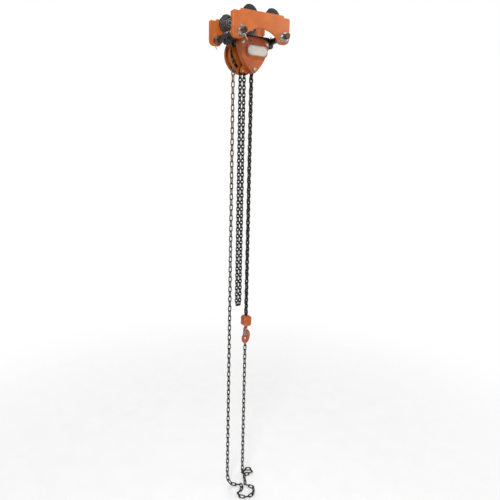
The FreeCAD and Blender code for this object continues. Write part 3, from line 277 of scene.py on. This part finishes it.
def chain_steel(name, light_and_shade_steps, roughness):
    """Chain wire whose colour follows height, a painted light and shade that is lighter at the top and
    darker lower down; the colour steps given are (height, colour) from the top down.
    """
    look = Graph(name, Metallic=0.9)
    height = look.axis("Z")
    base = light_and_shade_steps[0][1]
    # Blend down the steps: painted light at the top, painted shade lower down.
    for (upper, _), (lower, colour) in zip(light_and_shade_steps, light_and_shade_steps[1:]):
        base = look.mix(look.spread(height, upper, lower), base, colour)
    blotch = look.spread(look.noise(170, 5, 0.65), 0.42, 0.66)
    base = look.mix(look.scaled(blotch, 0.5), base, (0.02, 0.018, 0.016))
    rub = look.spread(look.noise(420, 4, 0.6), 0.56, 0.7)
    look.drive("Base Color", look.mix(look.scaled(rub, 0.35), base, (0.5, 0.49, 0.46)))
    rough = look.spread(look.noise(260, 4, 0.6), 0.3, 0.7, roughness - 0.1, roughness + 0.15)
    look.drive("Roughness", rough)
    look.drive("Normal", look.bump(look.noise(1100, 3, 0.6), 0.04 * MM, 0.6))
    return look.material


def lining():
    look = Graph("friction_lining", Specular_IOR_Level=0.3)
    fleck = look.spread(look.noise(1500, 3, 0.6), 0.45, 0.62)
    look.drive("Base Color", look.mix(fleck, (0.10, 0.075, 0.055), (0.26, 0.20, 0.14)))
    look.drive("Roughness", look.spread(look.noise(700, 3, 0.6), 0.3, 0.7, 0.7, 0.9))
    look.drive("Normal", look.bump(look.noise(1500, 3, 0.6), 0.08 * MM, 0.8))
    return look.material


PLATE_BORDER = 4.2 * MM
PLATE_BORDER_BLUR = 0.7 * MM


def printed_plate():
    """Silver plate with a pale, blank printed field inside a cool border."""
    low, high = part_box("rating_plate")
    middle, half = (low + high) / 2, (high - low) / 2
    look = Graph("printed_plate", Coat_Weight=0.4, Coat_Roughness=0.1)
    across = look.sum("ABSOLUTE", look.sum("SUBTRACT", look.axis("X"), middle.x))
    height = look.sum("SUBTRACT", look.axis("Z"), middle.z)
    past = look.sum("MAXIMUM", look.sum("SUBTRACT", across, half.x - half.z), 0.0)
    reach = look.distance(past, height)
    inside = look.spread(reach, half.z - PLATE_BORDER, half.z - PLATE_BORDER - PLATE_BORDER_BLUR)
    brushed = look.noise(260, 3, 0.6, stretch=(0.1, 1.0, 8.0))
    metal = look.mix(look.spread(brushed, 0.3, 0.7), (0.36, 0.46, 0.52), (0.56, 0.66, 0.72))
    field = look.mix(look.spread(look.noise(150, 4, 0.6), 0.3, 0.7), (0.62, 0.55, 0.47), (0.72, 0.67, 0.58))
    look.drive("Base Color", look.mix(inside, metal, field))
    look.drive("Metallic", look.sum("SUBTRACT", 0.85, look.scaled(inside, 0.8)))
    look.drive("Roughness", look.spread(brushed, 0.3, 0.7, 0.3, 0.45))
    look.drive("Normal", look.bump(brushed, 0.02 * MM, 0.4, look.rounded(0.3 * MM)))
    return look.material


ORANGE = (0.72, 0.185, 0.032)
ORANGE_SHADE = (0.60, 0.135, 0.02)
COVER_ORANGE = (0.55, 0.125, 0.015)
COVER_SHADE = (0.37, 0.068, 0.007)
HOOK_ORANGE = (0.56, 0.10, 0.014)
HOOK_SHADE = (0.36, 0.05, 0.008)
BLACK = (0.022, 0.022, 0.024)
BLACK_SHADE = (0.012, 0.012, 0.013)
ZINC = (0.72, 0.74, 0.72)
ZINC_DULL = (0.48, 0.50, 0.48)
BROWNED = (0.17, 0.125, 0.095)
BROWNED_DULL = (0.05, 0.038, 0.03)
STEEL = (0.62, 0.62, 0.62)
STEEL_DULL = (0.44, 0.44, 0.45)
GOLD = (0.80, 0.58, 0.22)
GOLD_DULL = (0.58, 0.38, 0.12)

# Painted light and shade of the chains from their top down, lighter near the hoist and darker lower: a
# height in metres, and the colour there.
LOAD_CHAIN_SHADE_BY_HEIGHT = [(0.0, (0.05, 0.045, 0.042)), (-1.4, (0.035, 0.033, 0.032))]
HAND_CHAIN_LIGHT_AND_SHADE_BY_HEIGHT = [
    (-0.10, (0.34, 0.26, 0.16)), (-0.75, (0.20, 0.165, 0.12)), (-1.45, (0.05, 0.046, 0.04)),
    (-2.15, (0.035, 0.034, 0.032))]

LOOKS = {
    "orange_paint": painted("orange_paint", ORANGE, ORANGE_SHADE, (0.86, 0.36, 0.12), 0.36, 0.35),
    "hook_paint": painted("hook_paint", HOOK_ORANGE, HOOK_SHADE, (0.70, 0.26, 0.09), 0.34, 0.4),
    "black_paint": painted("black_paint", BLACK, BLACK_SHADE, (0.16, 0.16, 0.16), 0.36, 0.3),
    "black_cast": wheel_iron(),
    "zinc_plate": plated("zinc_plate", ZINC, ZINC_DULL, 0.3, tint=(0.54, 0.58, 0.52)),
    "dark_steel": plated("dark_steel", BROWNED, BROWNED_DULL, 0.34),
    "ground_steel": turned_steel("ground_steel", STEEL, STEEL_DULL, 0.26),
    "yellow_zinc": plated("yellow_zinc", GOLD, GOLD_DULL, 0.28, tint=(0.62, 0.60, 0.30)),
    "friction_lining": lining(),
    "plate_silver": printed_plate(),
    "black_chain": chain_steel("black_chain", LOAD_CHAIN_SHADE_BY_HEIGHT, 0.34),
    "hand_chain_steel": chain_steel("hand_chain_steel", HAND_CHAIN_LIGHT_AND_SHADE_BY_HEIGHT, 0.3),
}

COVER_PAINT = painted("cover_paint", COVER_ORANGE, COVER_SHADE, (0.90, 0.34, 0.07), 0.34, 0.3)
COVERS = ("gear_cover", "hand_wheel_cover", "gear_side_plate", "wheel_side_plate")


def dress_cad_nodes():
    for part in frame["record"]["subparts"]:
        shown = frame["nodes"][part["node"]]
        look = COVER_PAINT if part["node"] in COVERS else LOOKS[part["material_slot"]]
        shown.data.materials.clear()
        shown.data.materials.append(look)


# ---------------------------------------------------------------- chains

BEND_STEPS = 9
WIRE_SIDES = 12

# The weld on one straight side: a share of its length, and how much the wire swells there.
WELD = ((0.36, 1.0), (0.44, 1.07), (0.5, 1.1), (0.56, 1.07), (0.64, 1.0))


def link_shape(pitch, slack):
    """Rings of points of one welded link along X in the XY plane, as (rings, WIRE_SIDES, 3)."""
    width = LINK_WIDTH / 2
    straight = pitch + slack + WIRE - 2 * width
    stations = []
    for end in (1, -1):
        for step in range(BEND_STEPS + 1):
            angle = math.pi * (step / BEND_STEPS - 0.5) + (0 if end == 1 else math.pi)
            centre = Vector((end * straight / 2 + width * math.cos(angle), width * math.sin(angle), 0))
            stations.append((centre, Vector((math.cos(angle), math.sin(angle), 0)), 1.0))
        if end == 1:
            for share, swell in WELD:
                stations.append((Vector((straight * (0.5 - share), width, 0)), Vector((0, 1, 0)), swell))
    rings = []
    for centre, outward, swell in stations:
        radius = WIRE / 2 * swell
        ring = [centre + outward * (radius * math.cos(turn)) + Vector((0, 0, radius * math.sin(turn)))
                for turn in (2 * math.pi * k / WIRE_SIDES for k in range(WIRE_SIDES))]
        rings.append([list(point) for point in ring])
    return np.array(rings)


def ring_faces(count):
    """Faces that join each ring to the next, and the last to the first."""
    faces = []
    for ring in range(count):
        here = ring * WIRE_SIDES
        there = (ring + 1) % count * WIRE_SIDES
        for k in range(WIRE_SIDES):
            beside = (k + 1) % WIRE_SIDES
            faces.append((here + k, here + beside, there + beside, there + k))
    return faces


def chain_mesh(name, shape, joints, normals, look):
    """One mesh of links between successive joints; a normal is the way a link's flat side faces."""
    points = shape.reshape(-1, 3)
    faces = ring_faces(len(shape))
    vertices, polygons = [], []
    for start, end, normal in zip(joints, joints[1:], normals):
        along = (end - start).normalized()
        facing = (normal - along * normal.dot(along)).normalized()
        across = facing.cross(along)
        turn = np.array((along, across, facing))
        first = len(vertices) * len(points)
        vertices.append(points @ turn + np.array((start + end) / 2))
        polygons += [tuple(first + index for index in face) for face in faces]
    mesh = bpy.data.meshes.new(name)
    mesh.from_pydata(np.concatenate(vertices).tolist(), [], polygons)
    mesh.materials.append(look)
    mesh.shade_smooth()
    made = bpy.data.objects.new(name, mesh)
    bpy.context.scene.collection.objects.link(made)
    return made


ROUTE_STEPS = 40


def smooth_line(route):
    """Points along the NURBS curve whose control points are the route."""
    curve = bpy.data.curves.new("route", "CURVE")
    curve.dimensions = "3D"
    spline = curve.splines.new("NURBS")
    spline.points.add(len(route) - 1)
    for point, place in zip(spline.points, route):
        point.co = (*place, 1.0)
    spline.order_u = 3
    spline.use_endpoint_u = True
    spline.resolution_u = ROUTE_STEPS
    holder = bpy.data.objects.new("route", curve)
    bpy.context.scene.collection.objects.link(holder)
    bpy.context.view_layer.update()
    line = bpy.data.meshes.new_from_object(holder)
    points = [vertex.co.copy() for vertex in line.vertices]
    bpy.data.objects.remove(holder)
    bpy.data.curves.remove(curve)
    bpy.data.meshes.remove(line)
    return points


SPOT_HALVINGS = 24
CHORD_HALVINGS = 30
PITCH_PLAY = 0.04


def strides(line, chord):
    """Joints a chord apart along a line, and what is left of the line after the last."""
    joints = [line[0]]
    for start, end in zip(line, line[1:]):
        while (end - joints[-1]).length >= chord:
            step = end - start
            low, high = 0.0, 1.0
            for _ in range(SPOT_HALVINGS):
                middle = (low + high) / 2
                if (start + step * middle - joints[-1]).length < chord:
                    low = middle
                else:
                    high = middle
            joints.append(start + step * high)
            start = joints[-1]
    return joints, (line[-1] - joints[-1]).length


def joints_along(line, pitch, even):
    """A whole number of links from end to end, even or odd, with chords as near the pitch as fits."""
    joints, left = strides(line, pitch)
    odd = 0 if even else 1
    count = round((len(joints) - 1 + left / pitch - odd) / 2) * 2 + odd
    short, long = pitch * (1 - PITCH_PLAY), pitch * (1 + PITCH_PLAY)
    for _ in range(CHORD_HALVINGS):
        chord = (short + long) / 2
        joints, left = strides(line, chord)
        if len(joints) - 1 + left / chord > count:
            short = chord
        else:
            long = chord
    return joints[:count] + [line[-1]]


def wrap_joints(apothem, sides, y):
    """Corners of the polygon that a chain makes over the top of its wheel."""
    corner = apothem / math.cos(math.pi / sides)
    step = 2 * math.pi / sides
    angles = [step * (k - 0.5) for k in range(sides // 2 + 2)]
    return [Vector((corner * math.cos(angle), y, AXIS_Z + corner * math.sin(angle))) for angle in angles]


def wrap_normals(joints, y):
    """Flat links face the wheel's centre, and the links between them face along its axis."""
    centre = Vector((0, y, AXIS_Z))
    return [(start + end) / 2 - centre if index % 2 == 0 else Vector((0, 1, 0))
            for index, (start, end) in enumerate(zip(joints, joints[1:]))]


LYING_LEAN = math.radians(45)
UPRIGHT_FROM = 1.6
NEARLY_PLUMB = 0.8


def lying_normals(joints):
    """Links alternate between two directions: upright where the chain hangs, leaning where it lies."""
    normals = []
    for index, (start, end) in enumerate(zip(joints, joints[1:])):
        along = (end - start).normalized()
        lean = LYING_LEAN * (1 - min(1.0, abs(along.z) * UPRIGHT_FROM))
        beside = Vector((0, 0, 1)) if abs(along.z) < NEARLY_PLUMB else Vector((0, 1, 0))
        side = along.cross(beside).normalized()
        turn = lean + (0 if index % 2 == 0 else math.pi / 2)
        normals.append(side * math.sin(turn) + side.cross(along) * math.cos(turn))
    return normals


LOAD_LINK = link_shape(LOAD_PITCH, LOAD_SLACK)
HAND_LINK = link_shape(HAND_PITCH, HAND_SLACK)
SHEAVE_WRAP = wrap_joints(SHEAVE_APOTHEM, SHEAVE_SIDES, 0)
WHEEL_WRAP = wrap_joints(WHEEL_APOTHEM, WHEEL_SIDES, HAND_PLANE)

# The slack end hangs from the sheave, turns up at its lowest point and ends on the anchor.
SLACK_TURN = [
    (-18.4, -640), (-18.7, -1130), (-18.9, -1164), (-19.2, -1184), (-36.0, -1184),
    (-36.2, -1164), (-36.3, -1130), (-36.6, -640)]
SLACK_ROUTE = [SHEAVE_WRAP[-1], *[Vector((x, 0, z)) * MM for x, z in SLACK_TURN], ANCHOR]

# Where the hand chain lies on the floor, from below the left strand to below the right one.
FLOOR_ROUTE = [
    (-28, 24), (-4, 16), (20, 4), (4, -24), (-24, -34), (-46, -46), (-30, -72), (0, -86), (28, -84),
    (48, -60), (60, -32), (34, -18), (30, 12), (56, 24), (52, 54), (76, 64), (104, 48), (126, 76),
    (100, 100), (74, 82)]


# From the foot of each strand to its first place on the floor, and where a strand's route has points.
LEFT_LEAN = Vector((2, -7, -24)) * MM
RIGHT_LEAN = Vector((5, 5, -26)) * MM
STRAND_SHARES = (0, 0.5, 0.97, 1)


def hanging_down(top, links, pitch):
    return [top - Vector((0, 0, pitch * k)) for k in range(links + 1)]


def chain_on_wheels():
    facing = wrap_normals(SHEAVE_WRAP, 0)
    over_sheave = chain_mesh("load_chain_over_sheave", LOAD_LINK, SHEAVE_WRAP, facing, LOOKS["black_chain"])
    facing = wrap_normals(WHEEL_WRAP, HAND_PLANE)
    over_wheel = chain_mesh("hand_chain_over_wheel", HAND_LINK, WHEEL_WRAP, facing,
                            LOOKS["hand_chain_steel"])
    for piece in (over_sheave, over_wheel):
        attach(piece, HOIST)


def hook_strand():
    """The loaded strand, hanging from the sheave with a fixed number of links; on the real hoist it
    shortens or lengthens as the hook travels.
    """
    top = SHEAVE_WRAP[0]
    joints = hanging_down(top, HOOK_STRAND_LINKS, LOAD_PITCH)
    strand = chain_mesh("load_chain_strand", LOAD_LINK, joints, lying_normals(joints),
                        LOOKS["black_chain"])
    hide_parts("load_chain_hook_strand")
    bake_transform(strand)


def slack_end():
    joints = joints_along(smooth_line(SLACK_ROUTE), LOAD_PITCH, even=False)
    slack = chain_mesh("load_chain_slack", LOAD_LINK, joints, lying_normals(joints), LOOKS["black_chain"])
    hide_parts("load_chain_slack_end")
    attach(slack, HOIST)


def hand_chain():
    """Both strands from the hand wheel and the loose heap between them on the floor."""
    right, left = WHEEL_WRAP[0], WHEEL_WRAP[-1]
    foot = Vector((0, 0, HAND_PITCH * HAND_STRAND_LINKS))
    lie = FLOOR_Z + LYING_HEIGHT
    route = [left - foot * share for share in STRAND_SHARES]
    route += [left - foot + LEFT_LEAN]
    route += [Vector((x * MM, y * MM, lie)) for x, y in FLOOR_ROUTE]
    route += [right - foot + RIGHT_LEAN]
    route += [right - foot * share for share in reversed(STRAND_SHARES)]
    joints = joints_along(smooth_line(route), HAND_PITCH, even=True)
    chain = chain_mesh("hand_chain_loop", HAND_LINK, joints, lying_normals(joints),
                       LOOKS["hand_chain_steel"])
    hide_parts("hand_chain", "hand_chain_on_floor")
    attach(chain, HOIST)


# ---------------------------------------------------------------- studio

WHITE = (1, 1, 1, 1)
SURROUND = 0.34
FLOOR_GLOW = 0.2
FLOOR_RADIUS = 3
FADE_START = 0.6
FADE_END = 2.6


def floor_look():
    """Pale floor that fades into the backdrop, and is clear from below."""
    look = Graph("studio_floor", Roughness=0.9, Specular_IOR_Level=0.1, Emission_Color=WHITE,
                 Emission_Strength=FLOOR_GLOW)
    speck = look.spread(look.noise(9, 5, 0.6), 0.3, 0.7)
    look.drive("Base Color", look.mix(speck, (0.90, 0.90, 0.90), (0.93, 0.93, 0.93)))
    reach = look.add("ShaderNodeVectorMath", operation="LENGTH")
    look.join(look.place, reach.inputs[0])
    fade = look.spread(reach.outputs["Value"], FADE_START, FADE_END)
    below = look.add("ShaderNodeNewGeometry").outputs["Backfacing"]
    clear = look.sum("MAXIMUM", fade, below)
    mixer = look.add("ShaderNodeMixShader")
    look.join(clear, mixer.inputs[0])
    look.join(look.shader.outputs["BSDF"], mixer.inputs[1])
    look.join(look.add("ShaderNodeBsdfTransparent").outputs[0], mixer.inputs[2])
    look.join(mixer.outputs[0], look.surface)
    return look.material


def studio_floor():
    mesh = bpy.data.meshes.new("studio_floor")
    shape = bmesh.new()
    bmesh.ops.create_circle(shape, cap_ends=True, segments=96, radius=FLOOR_RADIUS)
    shape.to_mesh(mesh)
    shape.free()
    mesh.materials.append(floor_look())
    floor = bpy.data.objects.new("studio_floor", mesh)
    floor.location.z = FLOOR_Z
    bpy.context.scene.collection.objects.link(floor)


def soft_light(name, place, aim, size, power):
    lamp = bpy.data.lights.new(name, "AREA")
    lamp.shape = "DISK"
    lamp.size = size
    lamp.energy = power
    holder = bpy.data.objects.new(name, lamp)
    holder.location = place
    holder.rotation_euler = (Vector(aim) - Vector(place)).to_track_quat("-Z", "Y").to_euler()
    bpy.context.scene.collection.objects.link(holder)


def studio_world():
    """White backdrop for the camera, and a softer surround for the light that it gives."""
    world = bpy.data.worlds.new("studio")
    world.use_nodes = True
    tree = world.node_tree
    surround = tree.nodes["Background"]
    surround.inputs["Color"].default_value = WHITE
    surround.inputs["Strength"].default_value = SURROUND
    backdrop = tree.nodes.new("ShaderNodeBackground")
    backdrop.inputs["Color"].default_value = WHITE
    path = tree.nodes.new("ShaderNodeLightPath")
    mixer = tree.nodes.new("ShaderNodeMixShader")
    tree.links.new(path.outputs["Is Camera Ray"], mixer.inputs[0])
    tree.links.new(surround.outputs[0], mixer.inputs[1])
    tree.links.new(backdrop.outputs[0], mixer.inputs[2])
    tree.links.new(mixer.outputs[0], tree.nodes["World Output"].inputs["Surface"])
    bpy.context.scene.world = world


CAMERA_PLACE = Vector((-1.0934, -1.7619, -0.4736))
CAMERA_YAW = math.radians(30.55)
CAMERA_PITCH = math.radians(12.31)
CAMERA_ROLL = math.radians(0.92)
LENS = 34.0
LENS_SHIFT = 0.032
NEAREST = 0.05


def camera():
    """View from the gear side and from the left, at a standing person's eye level, looking down."""
    lens = bpy.data.cameras.new("camera")
    lens.lens = LENS
    lens.shift_x = LENS_SHIFT
    lens.clip_start = NEAREST
    eye = bpy.data.objects.new("camera", lens)
    ahead = Vector((math.sin(CAMERA_YAW) * math.cos(CAMERA_PITCH),
                    math.cos(CAMERA_YAW) * math.cos(CAMERA_PITCH),
                    -math.sin(CAMERA_PITCH)))
    level = Vector((math.cos(CAMERA_YAW), -math.sin(CAMERA_YAW), 0))
    upright = level.cross(ahead)
    right = level * math.cos(CAMERA_ROLL) + upright * math.sin(CAMERA_ROLL)
    up = upright * math.cos(CAMERA_ROLL) - level * math.sin(CAMERA_ROLL)
    eye.matrix_world = Matrix.Translation(CAMERA_PLACE) @ Matrix((right, up, -ahead)).transposed().to_4x4()
    bpy.context.scene.collection.objects.link(eye)
    bpy.context.scene.camera = eye


HOIST_HEIGHT = (0, 0, -0.2)
CHAIN_HEIGHT = (0, 0, -1.6)

# Name, place, what it is aimed at, size in metres and power in watts.
LIGHTS = (
    ("key", (-2.2, -2.6, 1.9), HOIST_HEIGHT, 1.3, 92),
    ("fill", (2.6, -2.0, 0.4), HOIST_HEIGHT, 2.0, 22),
    ("rim", (0.6, 2.6, 1.8), HOIST_HEIGHT, 1.4, 45),
    ("low", (-1.2, -2.0, -1.6), CHAIN_HEIGHT, 1.6, 14),
)


def studio():
    bpy.context.scene.view_settings.view_transform = "Standard"
    studio_floor()
    studio_world()
    for light in LIGHTS:
        soft_light(*light)
    camera()


dress_cad_nodes()
chain_on_wheels()
hook_strand()
slack_end()
hand_chain()
studio()
